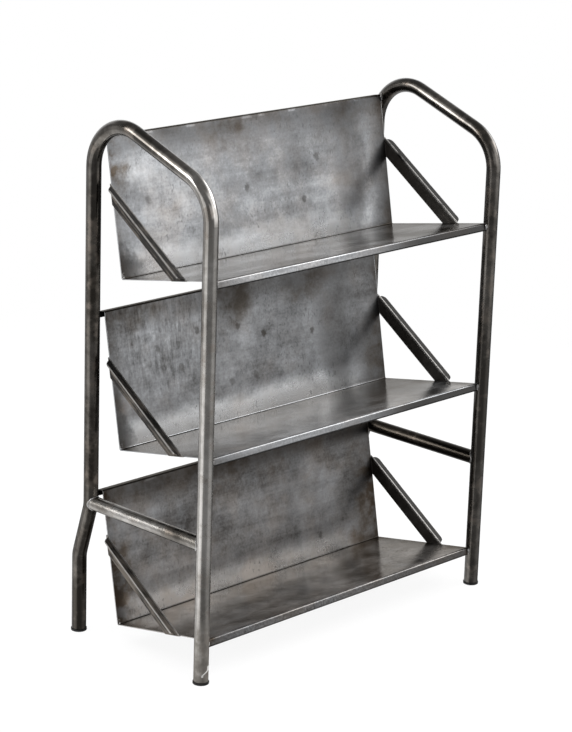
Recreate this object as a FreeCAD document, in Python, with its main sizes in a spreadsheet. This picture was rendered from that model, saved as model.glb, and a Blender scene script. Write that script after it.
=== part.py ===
import FreeCAD, Part
import math
import os
import Sketcher

# A steel library bookcase: three folded sheet shelves welded between two bent-tube side frames.
# Lengths are millimetres and angles degrees. +X runs along the shelves, +Y to the back and +Z up.
# The origin is on the floor, midway between the four feet.

SIZES = {
    # The two side frames, each bent from one tube
    "frame_spacing": 780,
    "tube_diameter": 28.6,
    "tube_wall": 1.6,
    "bend_radius": 85,
    "top_slope": 20.7,
    "top_weld_drop": 5.4,
    "kick_back": 32.4,
    "kick_angle": 16.5,
    "kick_radius": 60,
    "kick_above_rung": 3.7,
    # The rung between the legs of a frame
    "rung_diameter": 28,
    "rung_wall": 1.5,
    "rung_drop": 25.1,
    # The plugs in the tube ends
    "foot_thickness": 4.5,
    "foot_overhang": 1.4,
    "foot_round": 1.2,
    "plug_length": 20,
    "plug_clearance": 0.2,
    # The shelves, each folded from one sheet
    "top_shelf_height": 774.4,
    "middle_shelf_height": 439.4,
    "bottom_shelf_height": 82.4,
    "shelf_tilt": 10.45,
    "shelf_clearance": 0.2,
    "sheet": 1.5,
    "fold_radius": 2,
    "lip_height": 16,
    "lip_return": 10,
    "plate_depth": 253.3,
    "panel_height": 267.6,
    "return_depth": 19.6,
    "return_lip": 13,
    # The angle braces at the shelf ends
    "brace_reach": 178,
    "brace_leg": 28,
    "brace_flange": 15.5,
    "brace_thickness": 3,
    "brace_setback": 5,
    "brace_corner": 11,
    "brace_heel": 1.5,
    "brace_root": 1,
    # The weld beads
    "rung_bead": 1.9,
    "shelf_bead": 3.5,
    "top_bead_length": 18,
}

doc = FreeCAD.newDocument("bookcase")
sheet = doc.addObject("Spreadsheet::Sheet", "Sizes")
for row, (name, value) in enumerate(SIZES.items(), start=1):
    sheet.set(f"A{row}", name)
    sheet.set(f"B{row}", str(value))
    sheet.setAlias(f"B{row}", name)
doc.recompute()

# Lengths that follow from the sizes, written as expressions
COS_TILT = "cos(Sizes.shelf_tilt)"
SIN_TILT = "sin(Sizes.shelf_tilt)"


def shelf_y(back, up):
    """World Y, counted from the front legs, of a point in the tilted section of a shelf."""
    return f"({SHELF_START} + ({back}) * {COS_TILT} + ({up}) * {SIN_TILT})"


def shelf_z(shelf, back, up):
    """World Z of a point in the tilted section of a shelf."""
    return f"(Sizes.{shelf}_shelf_height - ({back}) * {SIN_TILT} + ({up}) * {COS_TILT})"


# The lip's middle stands in the plane of the front legs.
# The folded-down edge of the panel stands in the plane of the rear legs.
SHELF_START = f"(Sizes.lip_height / 2 * {SIN_TILT} - Sizes.sheet / 2 * {COS_TILT})"
PANEL_BACK = "Sizes.plate_depth + Sizes.return_depth"
LEG_SPREAD = shelf_y(f"{PANEL_BACK} - Sizes.sheet / 2", "Sizes.panel_height - Sizes.return_lip / 2")
FRONT_LEG_Y = f"(-({LEG_SPREAD} + Sizes.kick_back) / 2)"
SHELF_END = "((Sizes.frame_spacing - Sizes.tube_diameter) / 2 - Sizes.shelf_clearance)"
END_TO_TUBE = "(Sizes.tube_diameter / 2 + Sizes.shelf_clearance)"
FOLD = "(Sizes.fold_radius + Sizes.sheet / 2)"

# The rear bend passes the end of the top panel just below its upper edge, where the two are welded.
TOP_WELD_UP = "(Sizes.panel_height - Sizes.top_weld_drop)"
TOP_WELD_Y = shelf_y("Sizes.plate_depth", TOP_WELD_UP)
TOP_WELD_Z = shelf_z("top", "Sizes.plate_depth", TOP_WELD_UP)
WELD_FROM_CENTRE = f"({TOP_WELD_Y} - {LEG_SPREAD} + Sizes.bend_radius)"
REAR_BEND_Z = f"({TOP_WELD_Z} - sqrt(Sizes.bend_radius ^ 2 - {WELD_FROM_CENTRE} ^ 2))"
SLANT_RUN = f"(({LEG_SPREAD} - 2 * Sizes.bend_radius) / cos(Sizes.top_slope))"
FRONT_BEND_Z = f"({REAR_BEND_Z} - {SLANT_RUN} * sin(Sizes.top_slope))"

# The rear leg kicks back below the rung, and the rung sits a little below the bottom panel's upper edge.
RUNG_Z = f"({shelf_z('bottom', 'Sizes.plate_depth', 'Sizes.panel_height')} - Sizes.rung_drop)"
KICK_TOP_Z = f"({RUNG_Z} + Sizes.kick_above_rung)"
KICK_SETS = "(2 * Sizes.kick_radius * (1 - cos(Sizes.kick_angle)))"
KICK_RUN = f"((Sizes.kick_back - {KICK_SETS}) / sin(Sizes.kick_angle))"
KICK_FALL = f"(2 * Sizes.kick_radius * sin(Sizes.kick_angle) + {KICK_RUN} * cos(Sizes.kick_angle))"


def number(expression):
    """Value of an expression with the sizes as they are."""
    return float(sheet.evalExpression(expression))


def bind(target, **expressions):
    """Binds properties to expressions; a double underscore stands for the dot in a property path."""
    for path, expression in expressions.items():
        target.setExpression(path.replace("__", "."), expression)


def put(target, x, y, z):
    """Binds the place of an object."""
    bind(target, Placement__Base__x=x, Placement__Base__y=y, Placement__Base__z=z)


def tilt(target, angle):
    """Turns an object about the X axis by a bound angle."""
    target.Placement.Rotation = FreeCAD.Rotation(FreeCAD.Vector(1, 0, 0), number(angle))
    bind(target, Placement__Rotation__Angle=angle)


def origin_plane(body, role):
    """One of the three origin planes of a body."""
    return next(plane for plane in body.Origin.OriginFeatures if plane.Role == role)


def new_body(name):
    return doc.addObject("PartDesign::Body", name)


def body_sketch(body, name, role):
    """New sketch on an origin plane of a body."""
    sketch = body.newObject("Sketcher::SketchObject", name)
    sketch.AttachmentSupport = [(origin_plane(body, role), "")]
    sketch.MapMode = "FlatFace"
    return sketch


def follow(sketch, name, expression, kind, *places):
    """Adds a named constraint whose value follows an expression."""
    value = number(expression)
    if kind == "Angle":
        value = math.radians(value)
    index = sketch.addConstraint(Sketcher.Constraint(kind, *places, value))
    sketch.renameConstraint(index, name)
    sketch.setExpression(f"Constraints.{name}", expression)


def pin(sketch, name, line, x, y):
    """Fixes the start of a line at a place given by two expressions."""
    for kind, axis, expression in (("DistanceX", -2, x), ("DistanceY", -1, y)):
        value = number(expression)
        if value == 0:
            sketch.addConstraint(Sketcher.Constraint("PointOnObject", line, 1, axis))
        elif value > 0:
            follow(sketch, f"{name}_{kind}", expression, kind, -1, 1, line, 1)
        else:
            follow(sketch, f"{name}_{kind}", f"-({expression})", kind, line, 1, -1, 1)


def outline(sketch, corners):
    """Draws a closed outline through corners given by pairs of expressions."""
    points = [FreeCAD.Vector(number(x), number(y), 0) for x, y in corners]
    lines = []
    for here, there in zip(points, points[1:] + points[:1]):
        lines.append(sketch.addGeometry(Part.LineSegment(here, there)))
    for line, following in zip(lines, lines[1:] + lines[:1]):
        sketch.addConstraint(Sketcher.Constraint("Coincident", line, 2, following, 1))
    for line, (x, y) in zip(lines, corners):
        pin(sketch, f"corner_{line}", line, x, y)


def set_heading(sketch, name, line, heading):
    """Points a line along an axis of the sketch, or at the angle of an expression."""
    quarter_turns = {"0": "Horizontal", "180": "Horizontal", "90": "Vertical", "-90": "Vertical"}
    if heading in quarter_turns:
        sketch.addConstraint(Sketcher.Constraint(quarter_turns[heading], line))
    else:
        follow(sketch, name, heading, "Angle", line)


def direction(angle):
    return FreeCAD.Vector(math.cos(angle), math.sin(angle), 0)


def bent_path(sketch, start, runs, radii):
    """Draws straight runs, each a heading and a length, joined by tangent bends."""
    here = FreeCAD.Vector(number(start[0]), number(start[1]), 0)
    last_line = None
    for count, (heading, length) in enumerate(runs):
        angle = math.radians(number(heading))
        if last_line is not None:
            radius = number(radii[count - 1])
            turn = math.remainder(angle - last_angle, math.tau)
            side = math.copysign(math.pi / 2, turn)
            centre = here + radius * direction(last_angle + side)
            ends = sorted((last_angle - side, last_angle - side + turn))
            circle = Part.Circle(centre, FreeCAD.Vector(0, 0, 1), radius)
            arc = sketch.addGeometry(Part.ArcOfCircle(circle, *ends))
            entry, leave = (1, 2) if turn > 0 else (2, 1)
            sketch.addConstraint(Sketcher.Constraint("Tangent", last_line, 2, arc, entry))
            follow(sketch, f"bend_{count}", radii[count - 1], "Radius", arc)
            here = centre + radius * direction(angle - side)
        there = here + number(length) * direction(angle)
        line = sketch.addGeometry(Part.LineSegment(here, there))
        if last_line is None:
            pin(sketch, "start", line, *start)
        else:
            sketch.addConstraint(Sketcher.Constraint("Tangent", arc, leave, line, 1))
        set_heading(sketch, f"heading_{count}", line, heading)
        follow(sketch, f"run_{count}", length, "Distance", line)
        here = there
        last_line = line
        last_angle = angle


def edge_names(shape):
    return [f"Edge{count}" for count in range(1, len(shape.Edges) + 1)]


def edges_where(shape, test):
    """Names of the edges whose ends all pass a test."""
    named = zip(edge_names(shape), shape.Edges)
    return [name for name, edge in named if all(test(vertex.Point) for vertex in edge.Vertexes)]


def round_edges(body, name, radius, *tests):
    """Fillets the edges of a body whose ends pass one of the tests."""
    doc.recompute()
    base = body.Tip
    fillet = body.newObject("PartDesign::Fillet", name)
    fillet.Base = (base, [edge for test in tests for edge in edges_where(base.Shape, test)])
    bind(fillet, Radius=radius)


def difference(name, base, tool):
    """Part cut of one solid by another."""
    cut = doc.addObject("Part::Cut", name)
    cut.Base = base
    cut.Tool = tool
    return cut


def close_to(value, target):
    return math.isclose(value, target, abs_tol=0.001)


SIDES = {"left": -1, "right": 1}
SHELVES = ("top", "middle", "bottom")
pieces = []

# Side frames: the path of the tube, drawn once in the plane of the frame
frame_path = doc.addObject("Sketcher::SketchObject", "frame_path")
frame_path.Placement.Rotation = FreeCAD.Rotation(FreeCAD.Vector(1, 1, 1), 120)
bent_path(
    frame_path,
    ("0", "Sizes.foot_thickness"),
    [
        ("90", f"{FRONT_BEND_Z} - Sizes.foot_thickness"),
        ("Sizes.top_slope", SLANT_RUN),
        ("-90", f"{REAR_BEND_Z} - {KICK_TOP_Z}"),
        ("Sizes.kick_angle - 90", KICK_RUN),
        ("-90", f"{KICK_TOP_Z} - {KICK_FALL} - Sizes.foot_thickness"),
    ],
    ["Sizes.bend_radius", "Sizes.bend_radius", "Sizes.kick_radius", "Sizes.kick_radius"],
)
doc.recompute()


def along_frame(name, radius):
    """Round bar that follows the path of the frame."""
    ring = doc.addObject("Part::Circle", f"{name}_ring")
    bind(ring, Radius=radius, Placement__Base__z="Sizes.foot_thickness")
    bar = doc.addObject("Part::Sweep", name)
    bar.Sections = [ring]
    bar.Spine = (frame_path, edge_names(frame_path.Shape))
    bar.Solid = True
    return bar


frame_bar = along_frame("frame_bar", "Sizes.tube_diameter / 2")
frame_bore = along_frame("frame_bore", "Sizes.tube_diameter / 2 - Sizes.tube_wall")


def add_piece(piece, label, x, y, z):
    """Names a finished piece and binds its place."""
    piece.Label = label
    put(piece, x, y, z)
    pieces.append(piece)


def frame_x(side):
    return f"{SIDES[side]} * Sizes.frame_spacing / 2"


for side in SIDES:
    frame = difference(f"{side}_tube", frame_bar, frame_bore)
    add_piece(frame, f"{side}_side_frame", frame_x(side), FRONT_LEG_Y, "0")

# Rungs: a slightly thinner tube from leg to leg, coped round both
TO_THE_BACK = FreeCAD.Rotation(FreeCAD.Vector(1, 0, 0), -90)


def rung_cylinder(name, radius):
    cylinder = doc.addObject("Part::Cylinder", name)
    bind(cylinder, Radius=radius, Height=LEG_SPREAD)
    cylinder.Placement.Rotation = TO_THE_BACK
    bind(cylinder, Placement__Base__z=RUNG_Z)
    return cylinder


rung_bar = rung_cylinder("rung_bar", "Sizes.rung_diameter / 2")
rung_bore = rung_cylinder("rung_bore", "Sizes.rung_diameter / 2 - Sizes.rung_wall")
rung_tube = difference("rung_tube", rung_bar, rung_bore)
for side in SIDES:
    rung = difference(f"{side}_rung", rung_tube, frame_bar)
    add_piece(rung, f"{side}_side_rung", frame_x(side), FRONT_LEG_Y, "0")

# Rung welds: a collar round the rung that tapers away from the leg and is cut to the leg's surface
LEG_DEPTH_AT_RUNG = "sqrt((Sizes.tube_diameter ^ 2 - Sizes.rung_diameter ^ 2) / 4)"


def rung_collar(name):
    collar = new_body(name)
    section = body_sketch(collar, f"{name}_section", "YZ_Plane")
    inner = "Sizes.rung_diameter / 2"
    outer = f"{inner} + Sizes.rung_bead"
    outline(section, [
        (LEG_DEPTH_AT_RUNG, inner),
        (LEG_DEPTH_AT_RUNG, outer),
        ("Sizes.tube_diameter / 2", outer),
        ("Sizes.tube_diameter / 2 + Sizes.rung_bead", inner),
    ])
    turned = collar.newObject("PartDesign::Revolution", f"{name}_turned")
    turned.Profile = section
    turned.ReferenceAxis = (section, ["H_Axis"])
    turned.Angle = 360
    return collar


front_collar = rung_collar("front_collar")
put(front_collar, "0", "0", RUNG_Z)
rear_collar = rung_collar("rear_collar")
rear_collar.Placement.Rotation = FreeCAD.Rotation(FreeCAD.Vector(0, 0, 1), 180)
put(rear_collar, "0", LEG_SPREAD, RUNG_Z)
for side in SIDES:
    for end, collar in (("front", front_collar), ("rear", rear_collar)):
        bead = difference(f"{side}_{end}_bead", collar, frame_bar)
        add_piece(bead, f"{side}_rung_{end}_weld", frame_x(side), FRONT_LEG_Y, "0")

# Foot caps: a round-edged disc on a plug that sits in the tube
FOOT_RADIUS = "Sizes.tube_diameter / 2 + Sizes.foot_overhang"
PLUG_RADIUS = "Sizes.tube_diameter / 2 - Sizes.tube_wall - Sizes.plug_clearance"
PLUG_TOP = "Sizes.foot_thickness + Sizes.plug_length"


def on_foot_rim(point):
    at_rim = close_to(math.hypot(point.x, point.y), number(FOOT_RADIUS))
    return at_rim and close_to(point.z, 0)


def foot_cap(name):
    cap = new_body(name)
    section = body_sketch(cap, f"{name}_section", "XZ_Plane")
    outline(section, [
        ("0", "0"),
        (FOOT_RADIUS, "0"),
        (FOOT_RADIUS, "Sizes.foot_thickness"),
        (PLUG_RADIUS, "Sizes.foot_thickness"),
        (PLUG_RADIUS, PLUG_TOP),
        ("0", PLUG_TOP),
    ])
    turned = cap.newObject("PartDesign::Revolution", f"{name}_turned")
    turned.Profile = section
    turned.ReferenceAxis = (section, ["V_Axis"])
    turned.Angle = 360
    round_edges(cap, f"{name}_round", "Sizes.foot_round", on_foot_rim)
    return cap


FOOT_Y = {"front": FRONT_LEG_Y, "rear": f"{FRONT_LEG_Y} + {LEG_SPREAD} + Sizes.kick_back"}
for side in SIDES:
    for end, y in FOOT_Y.items():
        add_piece(foot_cap(f"{end}_{side}_cap"), f"{end}_{side}_foot_cap", frame_x(side), y, "0")

# Shelves: one sheet folded along a path, from the hem under the lip to the folded-down edge behind the panel
FOLD_PATH = [
    ("180", f"Sizes.lip_return - Sizes.sheet / 2 - {FOLD}"),
    ("90", f"Sizes.lip_height - Sizes.sheet - 2 * {FOLD}"),
    ("0", f"Sizes.plate_depth - 2 * {FOLD}"),
    ("90", f"Sizes.panel_height - 2 * {FOLD}"),
    ("0", f"Sizes.return_depth - Sizes.sheet - 2 * {FOLD}"),
    ("-90", f"Sizes.return_lip - Sizes.sheet / 2 - {FOLD}"),
]


def folded_shelf(name):
    body = new_body(name)
    path = body_sketch(body, f"{name}_path", "YZ_Plane")
    hem = ("Sizes.lip_return", "Sizes.sheet / 2 - Sizes.lip_height")
    bent_path(path, hem, FOLD_PATH, [FOLD] * (len(FOLD_PATH) - 1))
    edge = body_sketch(body, f"{name}_edge", "XZ_Plane")
    bind(edge, AttachmentOffset__Base__z="-Sizes.lip_return")
    outline(edge, [
        (f"-{SHELF_END}", "-Sizes.lip_height"),
        (SHELF_END, "-Sizes.lip_height"),
        (SHELF_END, "Sizes.sheet - Sizes.lip_height"),
        (f"-{SHELF_END}", "Sizes.sheet - Sizes.lip_height"),
    ])
    doc.recompute()
    folded = body.newObject("PartDesign::AdditivePipe", f"{name}_folded")
    folded.Profile = edge
    folded.Spine = (path, edge_names(path.Shape))
    folded.Mode = "Binormal"
    folded.Binormal = FreeCAD.Vector(1, 0, 0)
    tilt(body, "-Sizes.shelf_tilt")
    return body


for shelf in SHELVES:
    shelf_place = ("0", f"{FRONT_LEG_Y} + {SHELF_START}", f"Sizes.{shelf}_shelf_height")
    add_piece(folded_shelf(f"{shelf}_sheet"), f"{shelf}_shelf", *shelf_place)

# Braces: a steel angle at 45 degrees across the corner of plate and panel, its wide leg over the sheet's end
HEEL_LENGTH = "sqrt(2) * (Sizes.brace_reach + 2 * Sizes.sheet)"
FLANGE_HALF = "(Sizes.brace_reach / sqrt(2) - Sizes.brace_setback)"


def end_brace(name, side):
    """The brace lies along its body's Y axis, with the heel of the angle on that axis."""
    out = SIDES[side]
    brace = new_body(name)
    leg = body_sketch(brace, f"{name}_leg", "YZ_Plane")
    outline(leg, [
        (f"-{HEEL_LENGTH} / 2", "0"),
        (f"Sizes.brace_leg - {HEEL_LENGTH} / 2", "-Sizes.brace_leg"),
        (f"{HEEL_LENGTH} / 2 - Sizes.brace_leg", "-Sizes.brace_leg"),
        (f"{HEEL_LENGTH} / 2", "0"),
    ])
    leg_pad = brace.newObject("PartDesign::Pad", f"{name}_leg_pad")
    leg_pad.Profile = leg
    leg_pad.Reversed = out < 0
    bind(leg_pad, Length="Sizes.brace_thickness")
    flange = body_sketch(brace, f"{name}_flange", "XY_Plane")
    outline(flange, [
        ("0", f"-{FLANGE_HALF}"),
        (f"{out} * Sizes.brace_flange", f"-{FLANGE_HALF}"),
        (f"{out} * Sizes.brace_flange", FLANGE_HALF),
        ("0", FLANGE_HALF),
    ])
    flange_pad = brace.newObject("PartDesign::Pad", f"{name}_flange_pad")
    flange_pad.Profile = flange
    flange_pad.Reversed = True
    bind(flange_pad, Length="Sizes.brace_thickness")
    thickness = number("Sizes.brace_thickness")
    tip_x = out * number("Sizes.brace_flange")
    tip_y = number(FLANGE_HALF)
    round_edges(
        brace, f"{name}_corners", "Sizes.brace_corner",
        lambda point: close_to(point.x, tip_x) and close_to(point.y, tip_y),
        lambda point: close_to(point.x, tip_x) and close_to(point.y, -tip_y),
    )
    round_edges(
        brace, f"{name}_root", "Sizes.brace_root",
        lambda point: close_to(point.x, out * thickness) and close_to(point.z, -thickness),
    )
    round_edges(
        brace, f"{name}_heel", "Sizes.brace_heel",
        lambda point: close_to(point.x, 0) and close_to(point.z, 0),
    )
    tilt(brace, "45 - Sizes.shelf_tilt")
    return brace


BRACE_BACK = "Sizes.plate_depth - Sizes.brace_reach / 2"
BRACE_UP = "Sizes.brace_reach / 2"
for shelf in SHELVES:
    for side, out in SIDES.items():
        brace = end_brace(f"{shelf}_{side}_angle", side)
        brace_y = f"{FRONT_LEG_Y} + {shelf_y(BRACE_BACK, BRACE_UP)}"
        brace_z = shelf_z(shelf, BRACE_BACK, BRACE_UP)
        add_piece(brace, f"{shelf}_{side}_brace", f"{out} * {SHELF_END}", brace_y, brace_z)


# Shelf welds: half-round beads on the sheet, cut to the surface of the tube next to it
def half_round(name, facing, length):
    """Half-round bar on the body's Z axis, its flat side to the back when it faces the front (-1)."""
    body = new_body(name)
    section = body_sketch(body, f"{name}_section", "XY_Plane")
    radius = number("Sizes.shelf_bead")
    circle = Part.Circle(FreeCAD.Vector(), FreeCAD.Vector(0, 0, 1), radius)
    ends = (0, math.pi) if facing > 0 else (math.pi, math.tau)
    arc = section.addGeometry(Part.ArcOfCircle(circle, *ends))
    line = section.addGeometry(Part.LineSegment(circle.value(ends[1]), circle.value(ends[0])))
    section.addConstraint(Sketcher.Constraint("Coincident", arc, 2, line, 1))
    section.addConstraint(Sketcher.Constraint("Coincident", line, 2, arc, 1))
    section.addConstraint(Sketcher.Constraint("Coincident", arc, 3, -1, 1))
    section.addConstraint(Sketcher.Constraint("PointOnObject", arc, 1, -1))
    section.addConstraint(Sketcher.Constraint("PointOnObject", arc, 2, -1))
    follow(section, "bead", "Sizes.shelf_bead", "Radius", arc)
    bar = body.newObject("PartDesign::Pad", f"{name}_bar")
    bar.Profile = section
    bind(bar, Length=length)
    tilt(body, "-Sizes.shelf_tilt")
    return body


# Each bead: the end of the shelf, the way it faces, its place in the shelf's section and its length
LIP_BEAD_LENGTH = "Sizes.lip_height - 2 * Sizes.fold_radius"
LIP_BEAD = ("front", -1, "0", "Sizes.fold_radius - Sizes.lip_height", LIP_BEAD_LENGTH)
EDGE_BEAD_LENGTH = "Sizes.return_lip - Sizes.fold_radius"
EDGE_BEAD = ("rear", 1, PANEL_BACK, "Sizes.panel_height - Sizes.return_lip", EDGE_BEAD_LENGTH)
TOP_BEAD_UP = f"{TOP_WELD_UP} - Sizes.top_bead_length / 2"
PANEL_BEAD = ("rear", -1, "Sizes.plate_depth", TOP_BEAD_UP, "Sizes.top_bead_length")
BEADS = {"top": (LIP_BEAD, PANEL_BEAD), "middle": (LIP_BEAD, EDGE_BEAD), "bottom": (LIP_BEAD, EDGE_BEAD)}
for shelf in SHELVES:
    for side, out in SIDES.items():
        for end, facing, back, up, length in BEADS[shelf]:
            name = f"{shelf}_{side}_{end}"
            bar = half_round(f"{name}_bar", facing, length)
            put(bar, f"{-out} * {END_TO_TUBE}", shelf_y(back, up), shelf_z(shelf, back, up))
            bead = difference(f"{name}_bead", bar, frame_bar)
            add_piece(bead, f"{shelf}_shelf_{side}_{end}_weld", frame_x(side), FRONT_LEG_Y, "0")

doc.recompute()
for thing in doc.Objects:
    if {"Invalid", "Error"} & set(thing.State):
        raise RuntimeError(f"{thing.Label} failed: {thing.State}")
os.makedirs("parts", exist_ok=True)
for piece in pieces:
    if piece.Shape.isNull() or not piece.Shape.isValid():
        raise RuntimeError(f"{piece.Label} has no valid shape")
    piece.Shape.exportStep(f"parts/{piece.Label}.step")
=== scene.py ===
# %% [markdown]
# # A steel library bookcase
# Three folded steel shelves are welded between two side frames of bent tube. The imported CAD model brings
# every shape at its true size. This script adds what a drawing leaves out: the studio, the camera, the
# burnished and stained steel, and the uneven weld beads.

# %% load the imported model
import math
import bmesh
import bpy
from mathutils import Matrix, Vector, noise


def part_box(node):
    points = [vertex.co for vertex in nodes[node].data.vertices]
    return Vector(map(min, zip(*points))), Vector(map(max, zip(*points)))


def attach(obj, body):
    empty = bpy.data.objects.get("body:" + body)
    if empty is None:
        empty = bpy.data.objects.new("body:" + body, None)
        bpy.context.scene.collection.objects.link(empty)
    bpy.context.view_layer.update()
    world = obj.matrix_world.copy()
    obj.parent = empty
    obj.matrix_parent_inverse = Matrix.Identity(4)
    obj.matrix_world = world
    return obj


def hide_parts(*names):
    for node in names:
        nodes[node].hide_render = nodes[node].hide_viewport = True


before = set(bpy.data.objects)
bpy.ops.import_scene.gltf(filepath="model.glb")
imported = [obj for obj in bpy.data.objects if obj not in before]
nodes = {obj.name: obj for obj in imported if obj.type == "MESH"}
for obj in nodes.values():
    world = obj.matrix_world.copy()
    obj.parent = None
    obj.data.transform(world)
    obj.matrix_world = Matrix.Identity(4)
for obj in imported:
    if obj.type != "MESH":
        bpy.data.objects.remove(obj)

bpy.context.view_layer.update()

# %% [markdown]
# ## The camera
# A photo fixes the camera that took it: edges that are parallel on the object meet at points that give its
# direction, and the rate at which they close gives its distance. The numbers below come from such a fit.
# The camera looks from the front left, a little from above, through a long lens, and it is tipped slightly.

# %% camera
YAW = math.radians(-46.0103)
PITCH = math.radians(16.3039)
ROLL = math.radians(1.8426)
CAMERA_PLACE = (-3.32896, -3.20669, 1.85874)
LENS = 119.95
SENSOR_WIDTH = 36.0


def camera_matrix():
    """The camera's place and axes: X to the right of the picture, Y up, and it looks along minus Z."""
    ahead = Vector((-math.sin(YAW) * math.cos(PITCH), math.cos(YAW) * math.cos(PITCH), -math.sin(PITCH)))
    level = Vector((math.cos(YAW), math.sin(YAW), 0.0))
    upright = level.cross(ahead)
    right = level * math.cos(ROLL) + upright * math.sin(ROLL)
    up = upright * math.cos(ROLL) - level * math.sin(ROLL)
    axes = Matrix((right, up, -ahead)).transposed()
    return Matrix.Translation(CAMERA_PLACE) @ axes.to_4x4()


camera_data = bpy.data.cameras.new("photo_camera")
camera_data.lens = LENS
camera_data.sensor_width = SENSOR_WIDTH
camera = bpy.data.objects.new("photo_camera", camera_data)
camera.matrix_world = camera_matrix()
scene = bpy.context.scene
scene.collection.objects.link(camera)
scene.camera = camera
print("camera at", CAMERA_PLACE, "with a lens of", LENS, "mm")

# %% [markdown]
# ## Shader sums written as sums
# A finish is a small calculation: clouds plus streaks, less the dirt near an edge. Blender works such a sum
# out with one node per sign. The class below holds the output of a node, so that a plus sign in Python adds
# a Math node. Every other node comes from its one method `node`.

# %% a class for shader sums
class Wire:
    """The output of a shader node, ready to be used in a sum."""

    def __init__(self, socket):
        self.socket = socket
        self.tree = socket.id_data

    def node(self, kind, settings, inputs, output=0):
        """Adds a node of any kind to the same tree: first its settings, then its values and links."""
        made = self.tree.nodes.new(kind)
        for name, value in settings.items():
            setattr(made, name, value)
        for key, value in inputs.items():
            if isinstance(value, Wire):
                self.tree.links.new(value.socket, made.inputs[key])
            else:
                made.inputs[key].default_value = value
        return Wire(made.outputs[output]) if made.outputs else None

    def maths(self, operation, *values):
        return self.node("ShaderNodeMath", {"operation": operation}, dict(enumerate(values)))

    def __add__(self, other):
        return self.maths("ADD", self, other)

    __radd__ = __add__

    def __sub__(self, other):
        return self.maths("SUBTRACT", self, other)

    def __rsub__(self, other):
        return self.maths("SUBTRACT", other, self)

    def __mul__(self, other):
        return self.maths("MULTIPLY", self, other)

    __rmul__ = __mul__

    def __abs__(self):
        return self.maths("ABSOLUTE", self)

    def limited(self):
        """The value held between nothing and one."""
        return self.node("ShaderNodeClamp", {}, {0: self})

    def axis(self, index):
        """One coordinate of a vector."""
        return self.node("ShaderNodeSeparateXYZ", {}, {0: self}, index)

    def stretched(self, x, y, z):
        """A vector with each coordinate multiplied."""
        return self.node("ShaderNodeVectorMath", {"operation": "MULTIPLY"}, {0: self, 1: (x, y, z)})


def rise(value, low, high):
    """Nothing below low, one above high and a soft slope between; it falls if low is the larger."""
    if low > high:
        return 1 - rise(value, high, low)
    settings = {"interpolation_type": "SMOOTHSTEP"}
    return value.node("ShaderNodeMapRange", settings, {0: value, 1: low, 2: high})


def blend(amount, first, second, mode="MIX"):
    """A colour that goes from the first to the second, or that is multiplied by the second."""
    ends = [colour if isinstance(colour, Wire) else (*colour, 1.0) for colour in (first, second)]
    settings = {"data_type": "RGBA", "blend_type": mode}
    return amount.node("ShaderNodeMix", settings, {0: amount, 6: ends[0], 7: ends[1]}, 2)


print("shader sums are ready")

# %% [markdown]
# ## The studio
# Bare steel has hardly a colour of its own: it shows what stands round it. The legs in the photo carry a
# broad bright line on their left, a dark middle and a weak line on their right, and the sloping tubes carry
# one crisp line. So the room has a narrow bright window on the left with a glow below it, a soft wide one
# at the front right, a small one on the right side, pale walls and floor behind and a faint wall in front.
# It is dim overhead. Lamps could do this too, but lights painted on the world are simpler to shape: each is
# an upright strip with soft edges. The camera itself sees plain white.

# %% world
WALL = 0.20
SHADE = 0.14
WINDOW = 7.0
WINDOW_TOP = 1.8
WINDOW_GLOW = 0.8
SIDE_BOX = 3.5
FILL = 1.15
BACK_WALL = 0.60
REAR_GLOW = 0.35
FRONT_WALL = 0.7
BACK_FLOOR = 0.35


def band(direction, azimuth, half_width, edge):
    """A soft upright strip of light; azimuth 0 is in front of the object and 90 is to its right."""
    angle = math.radians(azimuth)
    x, y = direction.axis(0), direction.axis(1)
    across = x * math.cos(angle) + y * math.sin(angle)
    ahead = x * math.sin(angle) - y * math.cos(angle)
    return rise(abs(across), half_width + edge, half_width) * rise(ahead, 0.0, 0.1)


world = bpy.data.worlds.new("studio")
world.use_nodes = True
world.node_tree.nodes.clear()
scene.world = world
direction = Wire(world.node_tree.nodes.new("ShaderNodeTexCoord").outputs["Generated"])
height = direction.axis(2)
window = WINDOW * rise(height, 0.54, 0.44) + WINDOW_TOP * rise(height, 0.95, 0.45)
fill = FILL * (0.15 + 0.85 * rise(height, -0.25, 0.0))
# Each light: its brightness at a height, the azimuth of its middle, half its width and its soft edge.
lights = {
    "window": (window * rise(height, 0.12, 0.22), -121, 0.11, 0.09),
    "side box": (SIDE_BOX * rise(height, 0.18, 0.28) * rise(height, 0.62, 0.54), 74, 0.30, 0.12),
    "window glow": (WINDOW_GLOW * rise(height, 0.3, 0.1), -102, 0.26, 0.18),
    "fill": (fill * rise(height, 0.85, 0.65), 40, 0.38, 0.35),
    "back wall": (BACK_WALL * rise(height, -0.12, 0.0) * rise(height, 0.6, 0.35), 145, 0.5, 0.3),
    "rear glow": (REAR_GLOW * rise(height, 0.4, 0.0), -145, 0.35, 0.30),
    "front wall": (FRONT_WALL * rise(height, 0.03, 0.12) * rise(height, 0.50, 0.35), -5, 0.42, 0.20),
    "back floor": (BACK_FLOOR * rise(height, -0.30, -0.45), 180, 0.60, 0.30),
}
light = WALL - SHADE * rise(height, 0.0, -0.15) * band(direction, 100, 0.5, 0.3)
for brightness, *strip in lights.values():
    light = light + brightness * band(direction, *strip)
seen = direction.node("ShaderNodeLightPath", {}, {})
strength = seen + light * (1 - seen)
background = direction.node("ShaderNodeBackground", {}, {0: (1.0, 1.0, 1.0, 1.0), 1: strength})
direction.node("ShaderNodeOutputWorld", {}, {0: background})
scene.view_settings.view_transform = "Standard"
print("painted on the world:", ", ".join(lights))

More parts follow.
